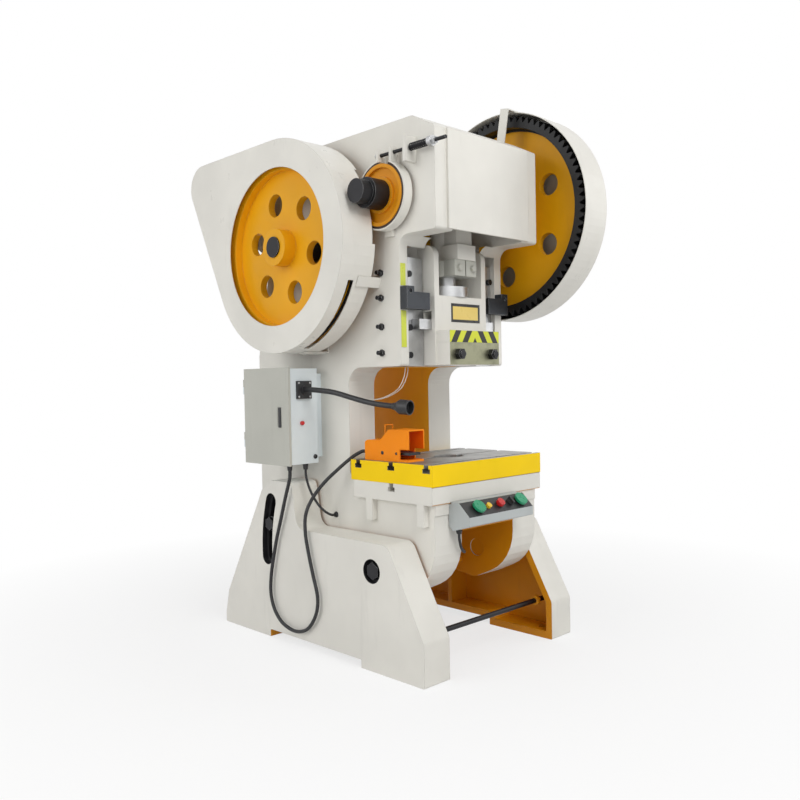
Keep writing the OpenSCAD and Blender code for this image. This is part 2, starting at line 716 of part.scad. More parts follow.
// Band brake round the drum, open at the top where the tension rod pulls
band_open = [84, 112];
module brake_arc(r_out, r_in) {
    difference() {
        ring_x(drum_x + 3, drum_x + drum_w - 3, r_out, r_in, crank);
        along_x(drum_x, drum_x + drum_w)
            polygon(concat([crank], arc(crank, 2 * r_out, band_open[0], band_open[1], 4)));
    }
}
module brake_lining() { color([0.2, 0.17, 0.15]) brake_arc(band_r, drum_r + seat); }
lug_t = 11;
lug_front = crank[0] + (band_r + seat) * cos(band_open[1]);
lug_rear = crank[0] + (band_r + seat) * cos(band_open[0]);
module brake_lug(y, z) {
    difference() {
        box([drum_x + 6, y, z], [drum_x + drum_w - 6, y + lug_t, rod_z + 18]);
        bar_y(y - 1, y + lug_t + 1, rod_hole_r, brake_x, rod_z);
    }
}
module brake_band() {
    color(ivory) {
        brake_arc(band_r + band_t, band_r + run);
        brake_lug(lug_front - lug_t - 0.5, crank_h + band_r * sin(band_open[1]));
        brake_lug(lug_rear - 2, crank_h + band_r + 2);
        box([drum_x + drum_w - 4, crank[0] - 20, crank_h - band_r - band_t - 20],
            [-plate_out, crank[0] + 20, crank_h - band_r - 2]);
    }
}
rod_z = crank_h + band_r + 27;
rod_hole_r = 7;
post_y = -470;
module brake_bracket() {
    color(ivory) difference() {
        box([brake_x - 22, post_y - 8, rod_z - 50], [-plate_out, post_y + 8, rod_z + 40]);
        bar_y(post_y - 9, post_y + 9, rod_hole_r, brake_x, rod_z);
    }
}
module brake_spring() {
    color(dark) difference() {
        bar_y(post_y - 102, post_y - 8, 14, brake_x, rod_z);
        bar_y(post_y - 103, post_y - 7, rod_hole_r, brake_x, rod_z);
    }
}
module brake_rod() {
    color(steel) {
        bar_y(-650, lug_rear + lug_t + 12, 6.5, brake_x, rod_z);
        hex_y(lug_rear + lug_t - 2 + run, lug_rear + lug_t + 10, 12, brake_x, rod_z);
        bar_y(post_y - 120, post_y - 102, 18, brake_x, rod_z);
        hex_y(post_y - 134, post_y - 120, 13, brake_x, rod_z);
    }
}

// Large gear: toothed rim, thin web with six holes, hub
rim_in = 370;
gear_web = 25;
gear_hole_r = 44;
gear_hole_at = 240;
module bull_gear() {
    color(orange) translate([0, crank[0], crank[1]]) difference() {
        union() {
            along_x(gear_x, gear_x + gear_face) difference() {
                polygon(gear_outline(gear_teeth, mesh_angle));
                circle(r = rim_in);
            }
            bar_x(gear_x + gear_face / 2 - 2, gear_x + gear_face / 2 + gear_web, rim_in + 1, [0, 0]);
            bar_x(gear_x, gear_x + gear_face + 10, 110, [0, 0]);
        }
        bar_x(gear_x - 1, gear_x + gear_face + 11, journal_r + run, [0, 0]);
        for (a = [0:60:300]) bar_x(gear_x, gear_x + gear_face, gear_hole_r,
            gear_hole_at * [cos(a + 32), sin(a + 32)]);
    }
}
module pinion_shaft() {
    color(steel) {
        bar_x(fly_face - 6, gear_x + gear_face + 8, shaft_r, shaft);
        translate([0, shaft[0], shaft[1]]) along_x(gear_x - 4, gear_x + gear_face + 4)
            polygon(gear_outline(pinion_teeth, mesh_angle));
    }
}

// Flywheel: grooved rim, dished web with six holes, hub
web_x = 30;
fly_web = 30;
fly_rim_in = 300;
hub_r = 72;
fly_hole_r = 45;
fly_hole_at = 185;
module flywheel() {
    color(yellow) difference() {
        union() {
            ring_x(fly_x, fly_x + flywheel_w, flywheel_r, fly_rim_in, shaft);
            bar_x(fly_x + web_x, fly_x + web_x + fly_web, fly_rim_in + 1, shaft);
            bar_x(fly_face, fly_x + flywheel_w, hub_r, shaft);
        }
        bar_x(fly_face - 1, fly_x + flywheel_w + 1, shaft_r + run, shaft);
        for (a = [0:60:300]) bar_x(fly_x, fly_x + flywheel_w, fly_hole_r,
            shaft + fly_hole_at * [cos(a + 12), sin(a + 12)]);
        for (i = [0:belt_count - 1]) belt_groove(i, flywheel_r, shaft);
    }
}
module belt_groove(i, r, c) {
    x = belt_x + i * belt_pitch;
    ring_x(x - gap, x + belt_w + gap, r + 1, r - belt_h + 2 - seat, c);
}
module motor_pulley() {
    color(dark) difference() {
        bar_x(belt_x - 12, belt_x + belt_count * belt_pitch + 4, pulley_r, motor_axis);
        bar_x(belt_x - 13, belt_x + belt_count * belt_pitch + 5, motor_shaft_r + run, motor_axis);
        for (i = [0:belt_count - 1]) belt_groove(i, pulley_r, motor_axis);
    }
}
module belt_loop(r_add) {
    hull() {
        translate(shaft) circle(r = flywheel_r + r_add);
        translate(motor_axis) circle(r = pulley_r + r_add);
    }
}
module drive_belts() {
    color(dark) for (i = [0:belt_count - 1])
        along_x(belt_x + i * belt_pitch, belt_x + i * belt_pitch + belt_w) difference() {
            belt_loop(2);
            belt_loop(2 - belt_h);
        }
}

// Motor behind the head, on an angled plate
motor_r = 108;
motor_x = [-330, 60];
motor_shaft_r = 19;
foot_z = motor_axis[1] - motor_r - 22;
module motor() {
    color([0.35, 0.42, 0.45]) {
        ring_fins();
        bar_x(motor_x[0], motor_x[1], motor_r - 8, motor_axis);
        bar_x(motor_x[1] - 50, motor_x[1] + 40, motor_r, motor_axis);
        bar_x(belt_x - 12, motor_x[0] + 1, motor_shaft_r, motor_axis);
        box([-250, motor_axis[0] - 60, foot_z], [10, motor_axis[0] + 60, motor_axis[1] - motor_r + 30]);
        box([-180, motor_axis[0] - 55, motor_axis[1] + 60], [-70, motor_axis[0] + 55, motor_axis[1] + 140]);
    }
}
module ring_fins() {
    for (a = [0:15:345]) translate([0, motor_axis[0], motor_axis[1]]) rotate([a, 0, 0])
        box([motor_x[0] + 40, -2.5, motor_r - 12], [motor_x[1] - 49, 2.5, motor_r]);
}
module motor_plate() {
    color(ivory) {
        box([-plate_out + 6, rear_top_y, foot_z - 180], [plate_out - 6, rear_top_y + 16, foot_z + 30]);
        box([-plate_out + 6, rear_top_y + 15, foot_z - 16], [40, motor_axis[0] + 125, foot_z]);
        for (x = [-plate_out + 6, 20]) along_x(x, x + 16)
            polygon([[rear_top_y + 15, foot_z - 15], [rear_top_y + 15, foot_z - 170],
                [rear_top_y + 260, foot_z - 15]]);
    }
}

// Flywheel guard: sheet-metal pan, cut away round the crank's end
module teardrop(r_add) {
    hull() {
        translate(shaft) circle(r = guard_r + r_add, $fn = 72);
        translate(motor_axis) circle(r = lobe_r + r_add, $fn = 32);
    }
}
guard_x = fly_face;
module flywheel_guard() {
    color(ivory) difference() {
        along_x(guard_x, guard_x + guard_d) teardrop(0);
        along_x(guard_x + sheet, guard_x + guard_d + 1) teardrop(-sheet);
        bar_x(guard_x - 1, guard_x + sheet + 1, guard_open_r, shaft);
        bar_x(drum_x - 6, guard_x + guard_d + 1, band_r + 55, crank);
        along_x(guard_x + 50, guard_x + 76) polygon(band(shaft, guard_r, 20, 203, 255));
    }
}

// Gear guard: a pan with a lobe for the pinion, open towards the frame
module gear_lobe(r_add) {
    hull() {
        translate(crank) circle(r = gear_tip + pan_gap + r_add, $fn = 96);
        translate(shaft) circle(r = pinion_tip + pan_gap + r_add, $fn = 32);
    }
}
module gear_guard() {
    color(ivory) difference() {
        along_x(pan_x, pan_x + pan_d) gear_lobe(0);
        along_x(pan_x - 1, pan_x + pan_d - sheet) gear_lobe(-sheet);
    }
}

// Straps from the guards to the frame: radial angle about the guard's centre
module strap(c, r, a, x0, x1, foot_x, foot_r) {
    translate([0, c[0], c[1]]) rotate([a, 0, 0]) {
        box([x0, r + seat, -20], [x1, r + seat + 5, 20]);
        box([foot_x, foot_r, -20], [foot_x + 5, r + seat + 5, 20]);
    }
}
// Angle of each gear strap and the radius where its foot ends on the frame
gear_straps = [[100, 235], [292, 330], [40, 310]];
module guard_brackets() {
    color(ivory) {
        for (a = [203, 262, 300])
            strap(shaft, guard_r, a, guard_x + 90, -plate_out, -plate_out - 5, guard_r - 40);
        for (s = gear_straps)
            strap(crank, gear_tip + pan_gap, s[0], plate_out, pan_x + 60, plate_out, s[1]);
    }
}

// Electric cabinet with a hinged door
module cabinet() {
    color(grey) {
        difference() {
            box([cab_x, cab_y, cab_z], [cab_x + cabinet_d, cab_y + cabinet_l, cab_z + cabinet_h]);
            box([cab_x - 1, cab_y + cab_wall, cab_z + cab_wall],
                [cab_x + cabinet_d - cab_wall, cab_y + cabinet_l - cab_wall, cab_z + cabinet_h - cab_wall]);
        }
        for (y = [cab_y + 30, cab_y + cabinet_l - 60]) box([cab_x + cabinet_d - 1, y, cab_z + 20],
            [-plate_out, y + 30, cab_z + cabinet_h - 20]);
        for (z = hinge_z) {
            translate([hinge_x, hinge_y, z]) cylinder(h = knuckle_h, r = knuckle_r);
            box([hinge_x, hinge_y - 2, z], [cab_x + 10, hinge_y + 2, z + knuckle_h]);
            box([cab_x + 2, cab_y + cabinet_l - 1, z], [cab_x + 10, hinge_y + 2, z + knuckle_h]);
        }
    }
}
module cabinet_door() {
    color(grey) difference() {
        union() {
            box([cab_x - door_t, cab_y - 5, cab_z - 4],
                [cab_x - seat, cab_y + cabinet_l + 2, cab_z + cabinet_h + 4]);
            for (z = hinge_z) translate([0, 0, z + knuckle_h + seat]) {
                translate([hinge_x, hinge_y, 0]) cylinder(h = knuckle_h, r = knuckle_r);
                box([hinge_x - 3, cab_y + cabinet_l + 1, 0], [hinge_x + 1, hinge_y, knuckle_h]);
            }
        }
        box([cab_x - door_t + 2, cab_y - 3, cab_z - 2], [cab_x, cab_y + cabinet_l, cab_z + cabinet_h + 2]);
        box([cab_x - door_t - 1, cab_y + 46, cab_z + 150], [cab_x - door_t + 1, cab_y + 70, cab_z + 226]);
    }
}
module cabinet_lamp() {
    color(red) bar_y(cab_y - 9, cab_y, 8, cab_x + 55, cab_z + 162);
}

// Work lamp on a bent arm
module lamp_arm() {
    color(dark) {
        box([cab_x + 30, cab_y - 10, lamp_h - 35], [cab_x + 100, cab_y, lamp_h + 35]);
        bar_y(neck_route[0][1] - 1, cab_y - 9, 16, neck_route[0][0], neck_route[0][2]);
        tube(neck_route, 9, 10, 3);
    }
}
lamp_tip = [-322, -448, lamp_h - 68];
module lamp_head() {
    from = neck_route[len(neck_route) - 1];
    v = lamp_tip - from;
    color(dark) translate(from + 1.2 * unit(v)) rotate([0, 0, atan2(v[1], v[0])])
        rotate([0, 90 - asin(v[2] / norm(v)), 0])
        rotate_extrude() polygon([[0, 0], [12, 0], [14, 12], [27, 34], [27, norm(v) + 4], [23, norm(v) + 4],
            [23, norm(v) - 18], [0, norm(v) - 18]]);
}

// Operator's panel: sloped face with buttons, lamp and selector
panel_back = bed_front + 8;
panel_outline = [[panel_back, bed_low - 80, 0], [panel_back, bed_low - 2, 0], [bed_front - 4, bed_low - 2, 0],
    [bed_front - 4, bed_low + 5, 0], [-589, bed_low + 5, 4], [-639, bed_low - 43, 4],
    [-639, bed_low - 75, 4], [-558, bed_low - 98, 4]];
module on_panel(x) { translate([x, panel_mid[0], panel_mid[1]]) rotate([panel_tilt, 0, 0]) children(); }
module control_panel() {
    color(grey) difference() {
        slab(panel_x, panel_x + panel_w, panel_outline);
        for (x = concat(button_x, [stop_x, knob_x])) on_panel(x) translate([0, 0, -30])
            cylinder(h = 60, r = stem_r + run);
    }
}
module button(x, r, cap_h, tint) {
    color(tint) on_panel(x) {
        translate([0, 0, -20]) cylinder(h = 20 + button_travel + 1.5, r = stem_r);
        translate([0, 0, button_travel + 1]) cylinder(h = cap_h, r = r);
    }
}
module left_button() { button(button_x[0], 26, 10, green); }
module right_button() { button(button_x[1], 26, 10, green); }
module stop_button() { button(stop_x, 16, 12, red); }
module selector_knob() {
    color(dark) on_panel(knob_x) {
        translate([0, 0, -20]) cylinder(h = 22, r = stem_r);
        translate([0, 0, seat]) cylinder(h = 8, r = 15);
        box([-4, -15, 8], [4, 15, 20]);
    }
}
module panel_lamp() { color(yellow) on_panel(lamp_x) cylinder(h = 10, r = 11); }

// Foot switch: hooded housing with a hinged pedal
pedal_pin = [switch_split + 8, table_h + 30];
module foot_switch() {
    x1 = switch_x + switch_w;
    color(orange) difference() {
        union() {
            box([switch_x, switch_front + 4, table_h], [x1, switch_back, table_h + 8]);
            slab(switch_x, x1, [[switch_split, table_h, 0], [switch_back, table_h, 0],
                [switch_back, table_h + switch_body_h - 8, 8], [switch_back - 14, table_h + switch_body_h, 8],
                [switch_split, table_h + switch_body_h, 0]]);
            box([switch_x, switch_cheek, table_h], [x1, switch_split + 1, table_h + hood_low + 1]);
            slab(switch_x, x1, [[switch_front, table_h + hood_low, 0],
                [switch_split + 10, table_h + hood_low, 0],
                [switch_split + 22, table_h + switch_body_h, 8], [switch_split - 26, table_h + switch_h, 10],
                [switch_front, table_h + switch_h, 0]]);
        }
        box([switch_x + switch_wall, switch_front - 1, table_h + 8],
            [x1 - switch_wall, switch_split + 16, table_h + switch_h - switch_wall]);
        bar_x(switch_x - 1, x1 + 1, pin_hole_r, pedal_pin);
    }
}
pin_hole_r = 5;
module foot_pedal() {
    x1 = switch_x + switch_w;
    color(dark) {
        box([switch_x + 14, switch_front + 8, pedal_pin[1] - 6], [x1 - 14, pedal_pin[0], pedal_pin[1] + 4]);
        bar_x(switch_x + 1, x1 - 1, pin_hole_r - run, pedal_pin);
    }
}

// Glands where the cords leave the cabinet, the panel, the frame and the switch
gland_gap = 0.8;
module gland(r, h) { translate([0, 0, gland_gap]) cylinder(h = h - gland_gap, r1 = r + 2, r2 = r + 5); }
module cable_glands() {
    switch_end = switch_cord[len(switch_cord) - 1];
    power_out = power_route[len(power_route) - 1];
    panel_end = panel_route[len(panel_route) - 1];
    color(dark) {
        for (p = [switch_end, power_route[0]]) translate(p) gland(cord_r, cab_z - p[2]);
        translate(power_out) rotate([0, 90, 0]) gland(cord_r, -skirt_out - power_out[0]);
        translate(panel_route[0]) gland(cord_r, bed_low - 98.5 - panel_top);
        translate(panel_end) rotate([0, -90, 0]) gland(cord_r, panel_end[0] + plate_in - 7);
        translate(switch_cord[0]) rotate([90, 0, 0]) gland(cord_r, switch_cord[0][1] - switch_back);
    }
}
module foot_switch_cord() { color(dark) tube(switch_cord, cord_r); }
module panel_cable() { color(dark) tube(panel_route, cord_r - 2); }
module power_cable() { color(dark) tube(power_route, cord_r - 2); }

// Thin oil lines from the guides to the column
module oil_tubes() {
    color([0.9, 0.88, 0.8]) for (d = [0, 14]) tube([for (p = oil_route) p - [d, 0, 0]], 1.6, 6);
}

left_leg();
right_leg();
tie_rod();
pivot_bolts();
frame();
bolster();
crank_cover();
bearing_bushes();
left_gib();
right_gib();
gib_screws();
knockout_stops();
slide_scale();
flywheel_guard();
gear_guard();
guard_brackets();
brake_band();
brake_lining();
brake_bracket();
brake_spring();
brake_rod();
motor();
motor_plate();
drive_belts();
cabinet();
lamp_arm();
lamp_head();
cabinet_lamp();
control_panel();
panel_lamp();
foot_switch();
cable_glands();
foot_switch_cord();
panel_cable();
power_cable();
lock_bolts();
oil_tubes();
slide();
connecting_rod();
rod_clamp();
adjusting_screw();
hazard_block();
die_clamp();
die_bolts();
slide_plate();
knockout_bar();
crankshaft();
brake_drum();
bull_gear();
flywheel();
pinion_shaft();
motor_pulley();
cabinet_door();
left_button();
right_button();
stop_button();
selector_knob();
foot_pedal();
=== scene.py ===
"""Looks of the open-back punching machine: cords, finishes, small fittings, light and camera.

Metres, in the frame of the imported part: +Z up, front towards -Y, the flywheel on the -X side.
"""

import json
import math

import bpy
import bmesh
from mathutils import Matrix, Vector


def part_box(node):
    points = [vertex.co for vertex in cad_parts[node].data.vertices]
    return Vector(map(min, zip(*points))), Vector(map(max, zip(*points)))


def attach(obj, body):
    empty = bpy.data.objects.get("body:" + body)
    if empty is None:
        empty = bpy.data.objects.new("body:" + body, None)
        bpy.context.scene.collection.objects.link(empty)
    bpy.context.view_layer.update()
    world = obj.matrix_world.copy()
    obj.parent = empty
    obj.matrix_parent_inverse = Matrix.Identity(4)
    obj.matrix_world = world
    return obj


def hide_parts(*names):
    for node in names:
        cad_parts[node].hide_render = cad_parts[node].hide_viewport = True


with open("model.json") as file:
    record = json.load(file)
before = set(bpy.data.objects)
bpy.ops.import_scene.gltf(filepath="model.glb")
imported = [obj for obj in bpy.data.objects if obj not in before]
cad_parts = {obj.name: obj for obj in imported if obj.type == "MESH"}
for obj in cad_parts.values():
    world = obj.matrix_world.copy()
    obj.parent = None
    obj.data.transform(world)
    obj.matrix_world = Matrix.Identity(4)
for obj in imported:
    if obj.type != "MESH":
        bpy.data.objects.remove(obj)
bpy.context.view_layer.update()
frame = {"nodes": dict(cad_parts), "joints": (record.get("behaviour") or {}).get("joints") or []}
nodes = frame["nodes"]

# Camera, from the photograph's straight edges
CAMERA_AT = Vector((-2.4154, -2.5478, 1.041))
CAMERA_AZIMUTH = math.radians(-44.316)
CAMERA_PITCH = math.radians(1.3007)
CAMERA_ROLL = math.radians(-1.0875)
LENS_MM = 37.43
SENSOR_MM = 36.0

# Routes of the three cords, in millimetres as the part's source has them
SWITCH_CORD = [
    (-262, -160, 772), (-262, -146, 772), (-270, -128, 769), (-305, -106, 745), (-345, -70, 700),
    (-380, -30, 650), (-415, 0, 590), (-440, 10, 530), (-445, 8, 460), (-445, -10, 380),
    (-445, -35, 300), (-445, -58, 230), (-445, -55, 175), (-445, -30, 125), (-445, 10, 85),
    (-445, 65, 65), (-445, 120, 65), (-445, 180, 85), (-445, 225, 130), (-445, 245, 190),
    (-445, 240, 260), (-445, 220, 340), (-445, 195, 420), (-447, 162, 500), (-449, 126, 590),
    (-450, 98, 655), (-450, 92, 681), (-450, 92, 697),
]
PANEL_CABLE = [
    (-190, -560, 488), (-190, -560, 476), (-188, -561, 458), (-176, -557, 434), (-150, -545, 416),
    (-117, -520, 408), (-97, -490, 411), (-93, -464, 424), (-104, -446, 432), (-119, -440, 434),
    (-130, -440, 434),
]
POWER_CABLE = [
    (-385, 75, 697), (-385, 75, 683), (-384, 70, 655), (-380, 58, 620), (-372, 42, 585),
    (-358, 25, 552), (-340, 12, 530), (-322, 5, 518), (-309, 3, 514), (-300, 3, 514),
]
LAMP_NECK = [
    (-405, 40, 1014), (-402, 5, 1014), (-396, -50, 1010), (-386, -115, 1002), (-373, -185, 985),
    (-358, -255, 968), (-345, -320, 957), (-335, -378, 951),
]
MM = 0.001

# Colours, linear
IVORY = (0.76, 0.742, 0.685)
ORANGE = (0.72, 0.29, 0.006)
GOLD = (0.82, 0.39, 0.004)
# Brighter copy of GOLD for the frame's throat: painted light against the throat's shade
PAINTED_LIGHT_THROAT_GOLD = (0.95, 0.50, 0.025)
YELLOW = (0.98, 0.66, 0.004)
CABINET_GREY = (0.72, 0.78, 0.80)
PANEL_GREY = (0.46, 0.49, 0.49)
# For the door, a darker and warmer copy of the cabinet's grey: painted shade of its -X side; the rod clamp's
# coat uses this colour too
DOOR_GREY = (0.50, 0.50, 0.45)
MOTOR_BLUE = (0.05, 0.10, 0.12)
CREAM = (0.80, 0.60, 0.16)
HAZARD_YELLOW = (0.66, 0.70, 0.04)
SCALE_YELLOW = (0.60, 0.66, 0.05)
STEEL = (0.56, 0.565, 0.57)
TABLE_STEEL = (0.42, 0.415, 0.40)
DULL_STEEL = (0.075, 0.08, 0.088)
BLACK_STEEL = (0.045, 0.045, 0.048)
# Dark olive-grey steel of the die clamp: painted reflection, its darkness and tint taken from the clamp
# face's reflections
REFLECTION_OLIVE_STEEL = (0.30, 0.30, 0.205)
BRONZE = (0.55, 0.36, 0.12)
WORN_EDGE = (0.78, 0.78, 0.78)
RUBBED_PAINT = (0.30, 0.27, 0.22)
RUBBER = (0.014, 0.014, 0.016)
BLACK_PLASTIC = (0.016, 0.016, 0.018)
LINING_BROWN = (0.05, 0.035, 0.028)
SWITCH_ORANGE = (0.98, 0.28, 0.004)
# Redder inside of the foot switch's hood, raised to full brightness as painted light against its shade
SWITCH_RED_PAINTED_LIGHT = (1.0, 0.15, 0.002)
BUTTON_GREEN = (0.012, 0.30, 0.14)
BUTTON_RED = (0.55, 0.012, 0.012)
LAMP_AMBER = (0.85, 0.55, 0.03)
TUBE_WHITE = (0.70, 0.68, 0.60)
OIL_BLACK = (0.012, 0.012, 0.013)
# Painted shade of the gap round the slide's cream plate
STRIPE_BLACK = (0.02, 0.02, 0.02)
GAP_SHADE_BLACK = (0.02, 0.02, 0.022)
FLOOR_GREY = (0.86, 0.86, 0.86)


def route(points, steps=6):
    """The smooth curve that the part's cords follow, in metres."""
    p = [Vector(q) * MM for q in points]
    last = len(p) - 1
    line = []
    for i in range(last):
        a, b, c, d = p[max(i - 1, 0)], p[i], p[i + 1], p[min(i + 2, last)]
        for k in range(steps):
            t = k / steps
            line.append(
                b + t / 2 * (c - a) + t * t / 2 * (2 * a - 5 * b + 4 * c - d)
                + t * t * t / 2 * (3 * b - a - 3 * c + d)
            )
    line.append(p[last])
    return line


def link(obj):
    bpy.context.scene.collection.objects.link(obj)
    return obj


def wire(name, line, radius, sides=3):
    """A round wire along a line, as a curve object."""
    curve = bpy.data.curves.new(name, "CURVE")
    curve.dimensions = "3D"
    curve.bevel_depth = radius
    curve.bevel_resolution = sides
    curve.use_fill_caps = True
    spline = curve.splines.new("POLY")
    spline.points.add(len(line) - 1)
    for point, co in zip(spline.points, line):
        point.co = (*co, 1.0)
    return link(bpy.data.objects.new(name, curve))


# Shader nodes
class Finish:
    """One material, with short calls that add a node and link it."""

    def __init__(self, name, colour, roughness, metallic=0.0):
        self.material = bpy.data.materials.new(name)
        self.material.use_nodes = True
        self.nodes = self.material.node_tree.nodes
        self.links = self.material.node_tree.links
        self.shader = self.nodes["Principled BSDF"]
        self.shader.inputs["Base Color"].default_value = (*colour, 1.0)
        self.shader.inputs["Roughness"].default_value = roughness
        self.shader.inputs["Metallic"].default_value = metallic
        self.place = self.add("ShaderNodeTexCoord").outputs["Object"]

    def add(self, kind, settings=(), **inputs):
        node = self.nodes.new(kind)
        for key, value in dict(settings).items():
            setattr(node, key, value)
        for key, value in inputs.items():
            numbered = key[0] == "i" and key[1:].isdigit()
            self.put(node.inputs[int(key[1:]) if numbered else key], value)
        return node

    def put(self, socket, value):
        if isinstance(value, bpy.types.NodeSocket):
            self.links.new(value, socket)
        elif isinstance(value, tuple) and len(value) == 3 and socket.type == "RGBA":
            socket.default_value = (*value, 1.0)
        else:
            socket.default_value = value

    def set(self, socket, value):
        self.put(self.shader.inputs[socket], value)
        return self

    def noise(self, scale, detail=4.0, rough=0.55, vector=None):
        node = self.add("ShaderNodeTexNoise", Scale=scale, Detail=detail, Roughness=rough)
        self.links.new(vector or self.place, node.inputs["Vector"])
        return node.outputs["Fac"]

    def stretched(self, factors):
        node = self.add("ShaderNodeMapping", Vector=self.place)
        node.inputs["Scale"].default_value = factors
        return node.outputs["Vector"]

    def math(self, operation, a, b=0.0, clamp=False):
        return self.add("ShaderNodeMath", {"operation": operation, "use_clamp": clamp}, i0=a, i1=b).outputs[0]

    def between(self, value, low, high, to_low=0.0, to_high=1.0):
        node = self.add("ShaderNodeMapRange", Value=value)
        for key, number in (("From Min", low), ("From Max", high), ("To Min", to_low), ("To Max", to_high)):
            node.inputs[key].default_value = number
        return node.outputs["Result"]

    def mix(self, share, a, b):
        node = self.add("ShaderNodeMix", {"data_type": "RGBA"})
        self.put(node.inputs["Factor"], share)
        self.put(node.inputs[6], a)
        self.put(node.inputs[7], b)
        return node.outputs[2]

    def axes(self):
        return self.add("ShaderNodeSeparateXYZ", Vector=self.place).outputs

    def soft_edges(self, radius):
        """Normal of edges rounded by radius, and how near a point is to an edge."""
        rounded = self.add("ShaderNodeBevel", {"samples": 4}, Radius=radius).outputs["Normal"]
        flat = self.add("ShaderNodeNewGeometry").outputs["Normal"]
        dot = self.add("ShaderNodeVectorMath", {"operation": "DOT_PRODUCT"}, i0=rounded, i1=flat)
        return rounded, self.between(dot.outputs["Value"], 0.99, 0.86)

    def bump(self, height, strength, distance, normal=None):
        node = self.add("ShaderNodeBump", Height=height, Strength=strength, Distance=distance)
        if normal is not None:
            self.links.new(normal, node.inputs["Normal"])
        self.links.new(node.outputs["Normal"], self.shader.inputs["Normal"])


def shade(colour, factor):
    return tuple(c * factor for c in colour)


def enamel(name, colour, roughness=0.38, grain=0.12, wear=0.5, radius=0.003, gloss=0.3):
    """Brushed or sprayed enamel on cast or sheet metal: cloudy tint, faint runs, rubbed edges."""
    f = Finish(name, colour, roughness)
    f.shader.inputs["Specular IOR Level"].default_value = gloss
    cloud = f.noise(3.2, 3.0)
    tint = f.mix(f.between(cloud, 0.35, 0.68), shade(colour, 0.94), shade(colour, 1.03))
    streak = f.noise(9.0, 5.0, 0.6, f.stretched((2.2, 2.2, 0.35)))
    dirt = f.between(streak, 0.60, 0.80, 0.0, 0.22)
    tint = f.mix(dirt, tint, shade(colour, 0.62))
    normal, edge = f.soft_edges(radius)
    rub = f.math("MULTIPLY", edge, f.between(f.noise(38.0, 5.0), 0.48, 0.66, 0.0, wear))
    tint = f.mix(rub, tint, RUBBED_PAINT)
    f.set("Base Color", tint)
    f.set("Roughness", f.between(f.noise(14.0, 4.0), 0.3, 0.7, roughness - 0.07, roughness + 0.12))
    f.bump(f.noise(230.0, 3.0), grain, 0.0006, normal)
    return f


def metal(name, colour, roughness=0.34, grain=(6, 160, 160), stain=0.35):
    """Turned or ground steel: fine lines, oil stains, lighter edges."""
    f = Finish(name, colour, roughness, 1.0)
    lines = f.noise(24.0, 5.0, 0.65, f.stretched(grain))
    blot = f.between(f.noise(17.0, 5.0, 0.6), 0.46, 0.72, 0.0, stain)
    tint = f.mix(f.between(lines, 0.3, 0.7), shade(colour, 0.82), shade(colour, 1.08))
    tint = f.mix(blot, tint, shade(colour, 0.42))
    normal, edge = f.soft_edges(0.0012)
    f.set("Base Color", f.mix(f.math("MULTIPLY", edge, 0.45), tint, WORN_EDGE))
    f.set("Roughness", f.between(lines, 0.25, 0.75, roughness - 0.08, roughness + 0.16))
    f.bump(lines, 0.10, 0.0004, normal)
    return f


def moulded(name, colour, roughness=0.45, grain=0.25, gloss=0.5, dusty=0.16):
    """Moulded plastic or rubber: fine pebble, dusty patches, softened edges."""
    f = Finish(name, colour, roughness)
    f.shader.inputs["Specular IOR Level"].default_value = gloss
    dust = f.between(f.noise(22.0, 5.0), 0.5, 0.78, 0.0, dusty)
    normal, edge = f.soft_edges(0.0015)
    tint = f.mix(dust, colour, tuple(c * 0.7 + 0.10 for c in colour))
    pale = tuple(min(1.0, c * 1.3 + 0.02) for c in colour)
    f.set("Base Color", f.mix(f.math("MULTIPLY", edge, 0.25), tint, pale))
    f.set("Roughness", f.between(f.noise(60.0), 0.3, 0.7, roughness - 0.06, roughness + 0.1))
    f.bump(f.noise(700.0, 2.0), grain, 0.0003, normal)
    return f


def two_tone(f, share, colour):
    """Lays a second colour over the finish where share is 1."""
    under = f.shader.inputs["Base Color"].links[0].from_socket
    f.set("Base Color", f.mix(share, under, colour))
    return f


ivory = enamel("ivory_enamel", IVORY, wear=0.3)
ivory_sheet = enamel("ivory_sheet_enamel", IVORY, 0.33, 0.06, 0.25)
orange = enamel("orange_enamel", ORANGE, 0.36, 0.14, 0.6)
gold = enamel("golden_enamel", GOLD, 0.36, 0.12, 0.5)
painted_light_throat_gold = enamel("throat_enamel_painted_light", PAINTED_LIGHT_THROAT_GOLD, 0.36, 0.12, 0.5)
yellow = enamel("yellow_enamel", YELLOW, 0.42, 0.08, 0.4, gloss=0.15)
cabinet_coat = enamel("cabinet_powder_coat", CABINET_GREY, 0.42, 0.22, 0.3, 0.002)
panel_coat = enamel("panel_powder_coat", PANEL_GREY, 0.42, 0.22, 0.3, 0.002)
# The door's coat: the cabinet's grey darkened as painted shade of the door's -X side
door_coat_painted_shade = enamel("door_powder_coat_painted_shade", DOOR_GREY, 0.42, 0.22, 0.3, 0.002)
clamp_coat = enamel("rod_clamp_enamel", DOOR_GREY, 0.4, 0.12, 0.6)
motor_coat = enamel("motor_enamel", MOTOR_BLUE, 0.4, 0.2, 0.5)
steel = metal("machined_steel", STEEL)
ground = metal("ground_table_steel", TABLE_STEEL, 0.42, (90, 5, 90), 0.75)
dark_steel = metal("black_oxide_steel", BLACK_STEEL, 0.42, (90, 90, 8), 0.3)
mid_steel = metal("dull_steel", DULL_STEEL, 0.45, (90, 8, 90), 0.4)
clamp_steel = metal("clamp_steel_painted_reflection", REFLECTION_OLIVE_STEEL, 0.40, (160, 160, 6), 0.6)
bronze = metal("bearing_bronze", BRONZE, 0.36)
rubber = moulded("black_rubber", RUBBER, 0.55)
black_plastic = moulded("black_plastic", BLACK_PLASTIC, 0.42)
lining = moulded("brake_lining_compound", LINING_BROWN, 0.8, 0.5)
